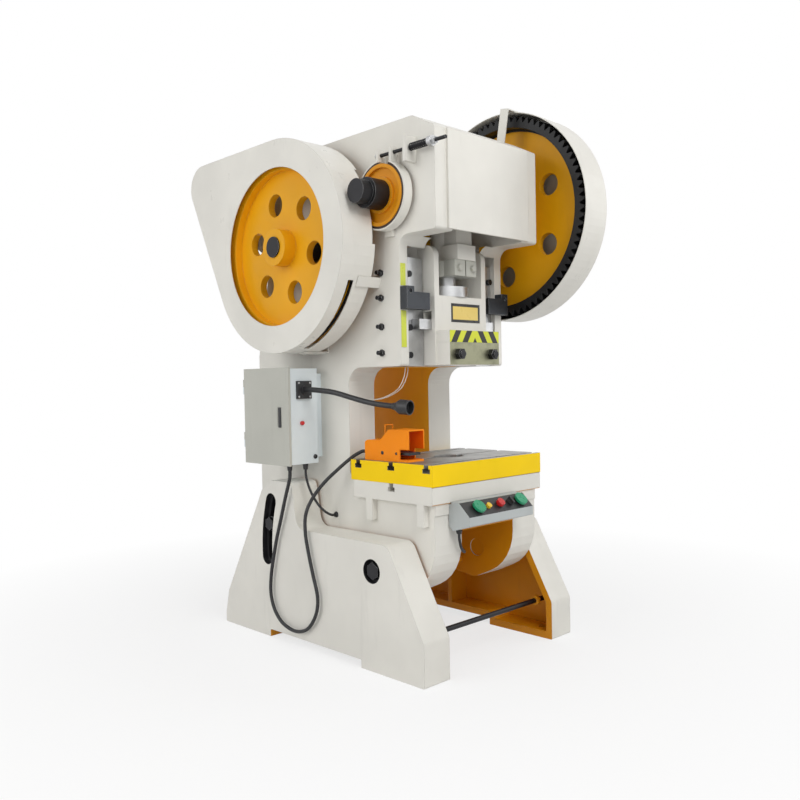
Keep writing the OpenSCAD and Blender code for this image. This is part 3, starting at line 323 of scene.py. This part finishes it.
orange_plastic = moulded("orange_plastic", SWITCH_ORANGE, 0.42, gloss=0.2, dusty=0.05)
green_plastic = moulded("green_plastic", BUTTON_GREEN, 0.28, 0.1)
red_plastic = moulded("red_plastic", BUTTON_RED, 0.25, 0.1)
amber_plastic = moulded("amber_plastic", LAMP_AMBER, 0.2, 0.1)
scale_film = moulded("scale_film", SCALE_YELLOW, 0.3, 0.1)
tube_plastic = moulded("clear_tube_plastic", TUBE_WHITE, 0.25, 0.05)


def wear(name, finish):
    """Gives one finish to a whole node."""
    nodes[name].data.materials.clear()
    nodes[name].data.materials.append(finish.material)


# Which finish each node wears
FINISHES = {
    ivory: ("left_leg", "right_leg", "frame", "slide", "connecting_rod"),
    ivory_sheet: (
        "flywheel_guard", "gear_guard", "guard_brackets", "brake_band", "brake_bracket", "motor_plate",
        "crank_cover",
    ),
    gold: ("flywheel",),
    orange: ("brake_drum",),
    cabinet_coat: ("cabinet",),
    panel_coat: ("control_panel",),
    door_coat_painted_shade: ("cabinet_door",),
    clamp_coat: ("rod_clamp",),
    clamp_steel: ("die_clamp",),
    motor_coat: ("motor",),
    steel: ("left_gib", "right_gib", "adjusting_screw", "knockout_bar"),
    dark_steel: (
        "tie_rod", "pivot_bolts", "lock_bolts", "gib_screws", "die_bolts", "brake_spring", "brake_rod",
        "crankshaft", "pinion_shaft", "motor_pulley",
    ),
    mid_steel: ("knockout_stops",),
    bronze: ("bearing_bushes",),
    rubber: ("drive_belts", "foot_switch_cord", "panel_cable", "power_cable"),
    black_plastic: ("lamp_arm", "lamp_head", "cable_glands", "selector_knob", "foot_pedal"),
    lining: ("brake_lining",),
    orange_plastic: ("foot_switch",),
    green_plastic: ("left_button", "right_button"),
    red_plastic: ("stop_button", "cabinet_lamp"),
    amber_plastic: ("panel_lamp",),
    scale_film: ("slide_scale",),
    tube_plastic: ("oil_tubes",),
    ground: ("bolster",),
}
for finish, names in FINISHES.items():
    for name in names:
        wear(name, finish)


def paint(name, finish, test):
    """Gives a second finish to those faces of a node whose centre and normal pass the test."""
    obj = nodes[name]
    obj.data.materials.append(finish.material)
    index = len(obj.data.materials) - 1
    for face in obj.data.polygons:
        if test(face.center, face.normal):
            face.material_index = index


def hits_itself(obj):
    """Tells whether a face looks at another face of the same node, as the wall of a pocket does."""
    clear_of_face = 0.002

    def test(centre, normal):
        return obj.ray_cast(centre + normal * clear_of_face, normal)[0]
    return test


def joint_at(name):
    return Vector(next(j for j in frame["joints"] if j["name"] == name)["pos_m"])


# Orange insides of the legs and of the frame; the edges and outsides stay ivory
TILT_AXIS = joint_at("frame_tilt")
LOCK_ARC_R = 0.636
LOCK_SLOT_HALF = 0.036
LOCK_ANGLES = (-10.0, 21.5)
PIVOT_RECESS_R = 0.046
RECESS_DEPTH = 0.027
LEG_EDGE = 0.010
HAIR = 0.0005
FACING = 0.5
leg_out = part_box("right_leg")[1].x


def in_slot(c, n):
    """Walls and floors of a leg's curved slot and of its pivot's recess, which are painted black as the
    slot's black lining and as painted shade in the slot and recesses.
    """
    from_axis = math.hypot(c.y - TILT_AXIS.y, c.z - TILT_AXIS.z)
    angle = math.degrees(math.atan2(c.z - TILT_AXIS.z, c.y - TILT_AXIS.y))
    near_slot = abs(from_axis - LOCK_ARC_R) < LOCK_SLOT_HALF and LOCK_ANGLES[0] < angle < LOCK_ANGLES[1]
    near_pivot = from_axis < PIVOT_RECESS_R
    below_face = abs(c.x) < leg_out - HAIR
    in_recess = abs(c.x) > leg_out - RECESS_DEPTH
    slot_wall = near_slot and abs(n.x) < FACING
    return below_face and (slot_wall or in_recess and (near_slot or near_pivot))


for name, sign in (("left_leg", 1), ("right_leg", -1)):
    pocket = hits_itself(nodes[name])
    outer = max(abs(c.x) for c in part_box(name)) - LEG_EDGE
    paint(name, orange, lambda c, n: abs(c.x) < outer and (n.x * sign > FACING or pocket(c, n)))
    # Black in the slots and recesses: the slot's black lining, and painted shade
    paint(name, black_plastic, in_slot)

bolster_low, bolster_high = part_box("bolster")
PLATE_GAP = 0.314
PLATE_EDGE = 0.012
BED_T = 0.066
BED_LOW = bolster_low.z - BED_T
ROOF_DEPTH = 0.11
ROOF_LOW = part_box("frame")[1].z - ROOF_DEPTH
COVER_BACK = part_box("crank_cover")[1].y
MARGIN = 0.002
FACING_FRONT = -0.9
FACING_UP = 0.2


def inside_frame(c, n):
    """Faces that look into the room between the frame's side plates."""
    facing_in = abs(c.x) < PLATE_GAP / 2 + MARGIN and n.x * c.x < -FACING * abs(c.x)
    between = abs(c.x) < PLATE_GAP / 2 - PLATE_EDGE and abs(n.x) < FACING
    is_roof = c.z > ROOF_LOW and n.z > FACING_UP
    is_bed = BED_LOW - MARGIN < c.z < bolster_low.z + MARGIN / 2 and abs(n.z) < FACING
    is_front = c.y < COVER_BACK + MARGIN and n.y < FACING_FRONT
    return facing_in or (between and not is_roof and not is_bed and not is_front)


paint("frame", orange, inside_frame)
# Above the bolster the frame's insides take the brighter gold: painted light for the shaded throat
paint("frame", painted_light_throat_gold, lambda c, n: c.z > bolster_low.z and inside_frame(c, n))


def middle_of(name):
    low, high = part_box(name)
    return (low + high) / 2


# The tie rod's right nut and the pivot bolts' inner ends are painted with the legs
NUT_IN = 0.012
PIVOT_INNER_X = 0.29
tie_mid = middle_of("tie_rod")
paint("tie_rod", orange, lambda c, n: c.x > 0 and math.hypot(c.y - tie_mid.y, c.z - tie_mid.z) > NUT_IN)
paint("pivot_bolts", orange, lambda c, n: abs(c.x) < PIVOT_INNER_X)

# Yellow edge round the bolster's ground top
EDGE_SKIN = 0.001
paint("bolster", yellow, lambda c, n: (
    abs(c.x) > bolster_high.x - EDGE_SKIN or min(c.y - bolster_low.y, bolster_high.y - c.y) < EDGE_SKIN))

# The gear's rim and teeth are black with oil, its web golden
GEAR_RIM_IN = 0.362
RIM_FADE = 0.002
gear_mid = middle_of("bull_gear")


def radius_about(f, middle):
    """Distance from the sideways line through a point."""
    _, y, z = f.axes()
    dy = f.math("SUBTRACT", y, middle.y)
    dz = f.math("SUBTRACT", z, middle.z)
    return f.math("SQRT", f.math("ADD", f.math("MULTIPLY", dy, dy), f.math("MULTIPLY", dz, dz)))


gear_finish = enamel("gear_enamel_and_oil", GOLD, 0.36, 0.14, 0.6)
rim = gear_finish.between(radius_about(gear_finish, gear_mid), GEAR_RIM_IN, GEAR_RIM_IN + RIM_FADE)
two_tone(gear_finish, rim, OIL_BLACK)
wear("bull_gear", gear_finish)

# Hazard stripes: chevrons that meet in the middle of the block
STRIPE_PITCH = 0.062
STRIPE_SLOPE = 0.62
hazard = enamel("hazard_stripes", HAZARD_YELLOW, 0.36, 0.1, 0.5)
x, _, z = hazard.axes()
along = hazard.math("ADD", hazard.math("ABSOLUTE", x), hazard.math("MULTIPLY", z, STRIPE_SLOPE))
wave = hazard.math("FRACT", hazard.math("DIVIDE", along, STRIPE_PITCH))
two_tone(hazard, hazard.between(wave, 0.49, 0.51), STRIPE_BLACK)
wear("hazard_block", hazard)
for name in ("hazard_block", "die_clamp"):
    paint(name, ivory, lambda c, n: n.y > FACING_FRONT)

# Bright collar on the brake's dark rod
BRAKE_ROD_R = 0.009
rod_mid = middle_of("brake_rod")
paint("brake_rod", steel, lambda c, n: math.hypot(c.x - rod_mid.x, c.z - rod_mid.z) > BRAKE_ROD_R)

# Bare cream plate whose black edge band is painted shade of the gap round the plate
GAP_SHADE_WIDTH = 0.010
GAP_SHADE_FADE = 0.0005
plate_low, plate_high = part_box("slide_plate")


def inset(f, value, low, high):
    """How far a coordinate lies inside the nearer of two limits."""
    return f.math("MINIMUM", f.math("SUBTRACT", value, low), f.math("SUBTRACT", high, value))


plate_with_gap_shade = enamel("cream_plate_with_painted_gap_shade", CREAM, 0.3, 0.05, 0.2, 0.001)
x, _, z = plate_with_gap_shade.axes()
inner = plate_with_gap_shade.math(
    "MINIMUM", inset(plate_with_gap_shade, x, plate_low.x, plate_high.x), inset(plate_with_gap_shade, z, plate_low.z, plate_high.z))
painted_gap_shade = plate_with_gap_shade.between(inner, GAP_SHADE_WIDTH + GAP_SHADE_FADE, GAP_SHADE_WIDTH - GAP_SHADE_FADE)
two_tone(plate_with_gap_shade, painted_gap_shade, GAP_SHADE_BLACK)
wear("slide_plate", plate_with_gap_shade)

# Black face of the control panel
PANEL_TILT = math.radians(43.8)
NEARLY_ALONG = 0.97
panel_normal = Vector((0.0, -math.sin(PANEL_TILT), math.cos(PANEL_TILT)))
paint("control_panel", black_plastic, lambda c, n: n.dot(panel_normal) > NEARLY_ALONG)

# Redder mouth of the foot switch's hood, at full brightness as painted light against the hood's shade
mouth_painted_light = moulded("orange_plastic_inside_painted_light", SWITCH_RED_PAINTED_LIGHT, 0.5, gloss=0.1, dusty=0.02)
paint("foot_switch", mouth_painted_light, hits_itself(nodes["foot_switch"]))


# Cords: each lies where its solid is
def lay_cord(name, node, points, radius):
    """A cord along its solid's route, which it replaces."""
    line = route(points)
    piece = wire(name, line, radius)
    piece.data.materials.append(rubber.material)
    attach(piece, "frame")
    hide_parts(node)


CORD_R = 0.007
CABLE_R = 0.005
lay_cord("foot_switch_lead", "foot_switch_cord", SWITCH_CORD, CORD_R)
lay_cord("panel_lead", "panel_cable", PANEL_CABLE, CABLE_R)
lay_cord("power_lead", "power_cable", POWER_CABLE, CABLE_R)


def turns(sides):
    return [2 * math.pi * k / sides for k in range(sides)]


def skin(bm, rings):
    """Closes a row of rings into a solid skin and returns its last cap."""
    sides = len(rings[0])
    for low, high in zip(rings, rings[1:]):
        for k in range(sides):
            bm.faces.new((low[k], low[(k + 1) % sides], high[(k + 1) % sides], high[k]))
    bm.faces.new(rings[0][::-1])
    return bm.faces.new(rings[-1])


def as_piece(bm, name):
    mesh = bpy.data.meshes.new(name)
    bm.to_mesh(mesh)
    bm.free()
    return link(bpy.data.objects.new(name, mesh))


def tube_mesh(name, line, radius_at, sides=14):
    """A closed tube along a line whose radius changes from ring to ring."""
    bm = bmesh.new()
    askew = Vector((1.0, 0.35, 0.2))
    rings = []
    for i, at in enumerate(line):
        heading = (line[min(i + 1, len(line) - 1)] - line[max(i - 1, 0)]).normalized()
        u = heading.cross(askew).normalized()
        v = heading.cross(u)
        r = radius_at(i)
        rings.append([bm.verts.new(at + r * (math.cos(a) * u + math.sin(a) * v)) for a in turns(sides)])
    skin(bm, rings)
    bmesh.ops.recalc_face_normals(bm, faces=bm.faces)
    piece = as_piece(bm, name)
    for face in piece.data.polygons:
        face.use_smooth = True
    return piece


def dress(piece, finish, body):
    """Finish, body and material slot of a new piece."""
    piece.data.materials.append(finish.material)
    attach(piece, body)
    return piece


# Ribbed sleeve of the lamp's bent arm
SLEEVE_R = 0.0093
RIB_H = 0.0012
RIBS_PER_POINT = 24
neck_line = route(LAMP_NECK, RIBS_PER_POINT)
ribs = tube_mesh("lamp_arm_ribs", neck_line, lambda i: SLEEVE_R + (RIB_H if i % 2 else 0.0))
dress(ribs, black_plastic, "frame")

# Coil of the brake spring
SPRING_TURNS = 9
STEPS_PER_TURN = 20
SPRING_WIRE_R = 0.0022
spring_low, spring_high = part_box("brake_spring")
spring_mid = middle_of("brake_spring")
spring_r = (spring_high.z - spring_low.z) / 2 - SPRING_WIRE_R
spring_run = spring_high.y - spring_low.y - 2 * SPRING_WIRE_R
spring_steps = SPRING_TURNS * STEPS_PER_TURN
coil = []
for k in range(spring_steps + 1):
    angle = 2 * math.pi * SPRING_TURNS * (k / spring_steps)
    along_y = spring_low.y + SPRING_WIRE_R + spring_run * (k / spring_steps)
    around = spring_r * Vector((math.cos(angle), 0.0, math.sin(angle)))
    coil.append(Vector((spring_mid.x, along_y, spring_mid.z)) + around)
spring = dress(wire("brake_spring_coil", coil, SPRING_WIRE_R), dark_steel, "frame")
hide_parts("brake_spring")


def block(name, low, high, bevel):
    """A box with rounded edges."""
    bm = bmesh.new()
    bmesh.ops.create_cube(bm, size=1.0)
    for vert in bm.verts:
        vert.co = Vector(tuple(l + (h - l) * (c + 0.5) for l, h, c in zip(low, high, vert.co)))
    bmesh.ops.bevel(bm, geom=list(bm.edges), offset=bevel, segments=2, affect="EDGES", profile=0.5)
    return as_piece(bm, name)


SCREW_SIDES = 20


def screw_head(name, at, normal, radius, height):
    """A domed screw head with a round recess, seated on a face."""
    bm = bmesh.new()
    profile = [(1.0, 0.0), (1.0, 0.35), (0.86, 0.72), (0.5, 0.95)]
    rings = []
    for share, rise_share in profile:
        r = radius * share
        z = height * rise_share
        rings.append([bm.verts.new((r * math.cos(a), r * math.sin(a), z)) for a in turns(SCREW_SIDES)])
    top = skin(bm, rings)
    bmesh.ops.inset_individual(bm, faces=[top], thickness=radius * 0.12, depth=-height * 0.3)
    piece = as_piece(bm, name)
    tilt = Vector((0.0, 0.0, 1.0)).rotation_difference(Vector(normal)).to_matrix().to_4x4()
    piece.data.transform(Matrix.Translation(Vector(at)) @ tilt)
    return piece


# Fittings of the cabinet: lock on the door, screws of the lamp's base, earth bolt
door_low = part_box("cabinet_door")[0]
LOCK_W = 0.016
LOCK_H = 0.078
LOCK_FROM_EDGE = 0.050
LOCK_RISE = 0.150
LOCK_PROUD = 0.004
LOCK_SUNK = 0.001
LOCK_BEVEL = 0.0015
lock = block(
    "door_lock",
    (door_low.x - LOCK_PROUD, door_low.y + LOCK_FROM_EDGE, door_low.z + LOCK_RISE),
    (door_low.x + LOCK_SUNK, door_low.y + LOCK_FROM_EDGE + LOCK_W, door_low.z + LOCK_RISE + LOCK_H),
    LOCK_BEVEL,
)
dress(lock, black_plastic, "door")

FORWARD = (0, -1, 0)
LAMP_BASE_HALF = 0.035
LAMP_BASE_T = 0.010
BASE_SCREW_IN = 0.008
BASE_SCREW_R = 0.0042
BASE_SCREW_H = 0.0025
cabinet_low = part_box("cabinet")[0]
arm_low, arm_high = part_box("lamp_arm")
base_mid = Vector((arm_low.x + LAMP_BASE_HALF, cabinet_low.y - LAMP_BASE_T, arm_high.z - LAMP_BASE_HALF))
screw_reach = LAMP_BASE_HALF - BASE_SCREW_IN
for i, (sx, sz) in enumerate(((-1, -1), (1, -1), (-1, 1), (1, 1))):
    at = base_mid + screw_reach * Vector((sx, 0.0, sz))
    head = screw_head(f"lamp_base_screw_{i}", at, FORWARD, BASE_SCREW_R, BASE_SCREW_H)
    dress(head, steel, "frame")

EARTH_BOLT_IN = 0.128
EARTH_BOLT_RISE = 0.026
EARTH_BOLT_R = 0.009
EARTH_BOLT_H = 0.007
bolt_at = cabinet_low + Vector((EARTH_BOLT_IN, 0.0, EARTH_BOLT_RISE))
earth_bolt = screw_head("cabinet_earth_bolt", bolt_at, FORWARD, EARTH_BOLT_R, EARTH_BOLT_H)
dress(earth_bolt, dark_steel, "frame")

# Upper end of the yellow scale, above the stop on the left
SCALE_RISE = 0.085
SCALE_GAP = 0.004
SCALE_BEVEL = 0.0004
scale_low, scale_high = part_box("slide_scale")
stop_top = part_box("knockout_stops")[1].z
upper_scale = block(
    "slide_scale_upper",
    (scale_low.x, scale_low.y, stop_top + SCALE_GAP),
    (scale_high.x, scale_high.y + HAIR, stop_top + SCALE_RISE),
    SCALE_BEVEL,
)
dress(upper_scale, scale_film, "frame")

# Wire bail and side screws of the foot switch
BAIL_W = 0.040
BAIL_H = 0.016
BAIL_FROM_SIDE = 0.012
BAIL_FROM_FRONT = 0.135
BAIL_SUNK = 0.030
BAIL_R = 0.0022
switch_low, switch_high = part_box("foot_switch")
bail_x = switch_low.x + BAIL_FROM_SIDE
bail_y = switch_low.y + BAIL_FROM_FRONT
bail_foot = switch_high.z - BAIL_SUNK
bail_top = switch_high.z + BAIL_H
bail_line = [
    Vector((bail_x, bail_y, bail_foot)), Vector((bail_x, bail_y, bail_top)),
    Vector((bail_x + BAIL_W, bail_y, bail_top)), Vector((bail_x + BAIL_W, bail_y, bail_foot)),
]
dress(wire("foot_switch_bail", bail_line, BAIL_R), orange_plastic, "frame")
pedal_axis = joint_at("pedal_press")
LEFTWARD = (-1, 0, 0)
SWITCH_SCREW_H = 0.003
SWITCH_SCREWS = ((0.0, 0.007), (0.075, 0.005))
for i, (ahead, radius) in enumerate(SWITCH_SCREWS):
    at = Vector((switch_low.x, pedal_axis.y - ahead, pedal_axis.z))
    head = screw_head(f"foot_switch_screw_{i}", at, LEFTWARD, radius, SWITCH_SCREW_H)
    dress(head, dark_steel, "frame")

# Camera
rise = Vector((-math.sin(CAMERA_AZIMUTH) * math.cos(CAMERA_PITCH),
               math.cos(CAMERA_AZIMUTH) * math.cos(CAMERA_PITCH), -math.sin(CAMERA_PITCH)))
level = Vector((math.cos(CAMERA_AZIMUTH), math.sin(CAMERA_AZIMUTH), 0.0))
upright = level.cross(rise)
side = math.cos(CAMERA_ROLL) * level + math.sin(CAMERA_ROLL) * upright
top = -math.sin(CAMERA_ROLL) * level + math.cos(CAMERA_ROLL) * upright
camera = link(bpy.data.objects.new("camera", bpy.data.cameras.new("camera")))
camera.data.sensor_width = SENSOR_MM
camera.data.lens = LENS_MM
camera.matrix_world = Matrix.Translation(CAMERA_AT) @ Matrix((side, top, -rise)).transposed().to_4x4()
bpy.context.scene.camera = camera

# Floor, sky and lamps
FLOOR_HALF = 14.0
FLOOR_NEAR = 0.9
FLOOR_FAR = 2.6
WHITE_NEAR = 0.70
SKY_LIGHT = 0.44
floor_mesh = bpy.data.meshes.new("floor")
floor_corners = [(x * FLOOR_HALF, y * FLOOR_HALF, 0) for x, y in ((-1, -1), (1, -1), (1, 1), (-1, 1))]
floor_mesh.from_pydata(floor_corners, [], [(0, 1, 2, 3)])
floor = link(bpy.data.objects.new("floor", floor_mesh))
floor_finish = Finish("floor", FLOOR_GREY, 0.9)
rays = floor_finish.add("ShaderNodeLightPath").outputs
seen = floor_finish.math("MAXIMUM", rays["Is Camera Ray"], rays["Is Glossy Ray"])
glow = floor_finish.add("ShaderNodeEmission", Strength=1.0).outputs[0]
blend = floor_finish.add("ShaderNodeMixShader", i1=floor_finish.shader.outputs[0], i2=glow)
away = floor_finish.add("ShaderNodeVectorMath", {"operation": "LENGTH"}, i0=floor_finish.place)
white = floor_finish.between(away.outputs["Value"], FLOOR_NEAR, FLOOR_FAR, WHITE_NEAR, 1.0)
floor_finish.put(blend.inputs[0], floor_finish.math("MULTIPLY", seen, white))
floor_finish.links.new(blend.outputs[0], floor_finish.nodes["Material Output"].inputs["Surface"])
floor_mesh.materials.append(floor_finish.material)

world = bpy.data.worlds.new("studio")
bpy.context.scene.world = world
world.use_nodes = True
sky = world.node_tree.nodes["Background"]
sky.inputs["Color"].default_value = (1.0, 1.0, 1.0, 1.0)
path = world.node_tree.nodes.new("ShaderNodeLightPath")
direct = world.node_tree.nodes.new("ShaderNodeMath")
direct.operation = "MAXIMUM"
world.node_tree.links.new(path.outputs["Is Camera Ray"], direct.inputs[0])
world.node_tree.links.new(path.outputs["Is Glossy Ray"], direct.inputs[1])
strength = world.node_tree.nodes.new("ShaderNodeMapRange")
strength.inputs["To Min"].default_value = SKY_LIGHT
strength.inputs["To Max"].default_value = 1.0
world.node_tree.links.new(direct.outputs[0], strength.inputs["Value"])
world.node_tree.links.new(strength.outputs["Result"], sky.inputs["Strength"])


def lamp(name, at, aim, size, power):
    """A square lamp that looks at a point; sizes in metres, power in watts."""
    data = bpy.data.lights.new(name, "AREA")
    data.shape = "SQUARE"
    data.size = size
    data.energy = power
    obj = link(bpy.data.objects.new(name, data))
    obj.location = at
    obj.rotation_euler = (Vector(aim) - Vector(at)).to_track_quat("-Z", "Y").to_euler()


lamp("key", (-1.2, -4.2, 4.0), (0.0, -0.2, 1.0), 2.6, 112)
lamp("left_fill", (-4.6, 0.6, 2.6), (0.0, 0.0, 1.0), 2.6, 64)
lamp("right_fill", (3.4, -2.6, 2.4), (0.0, 0.0, 1.0), 2.2, 24)

bpy.context.scene.view_settings.view_transform = "Standard"
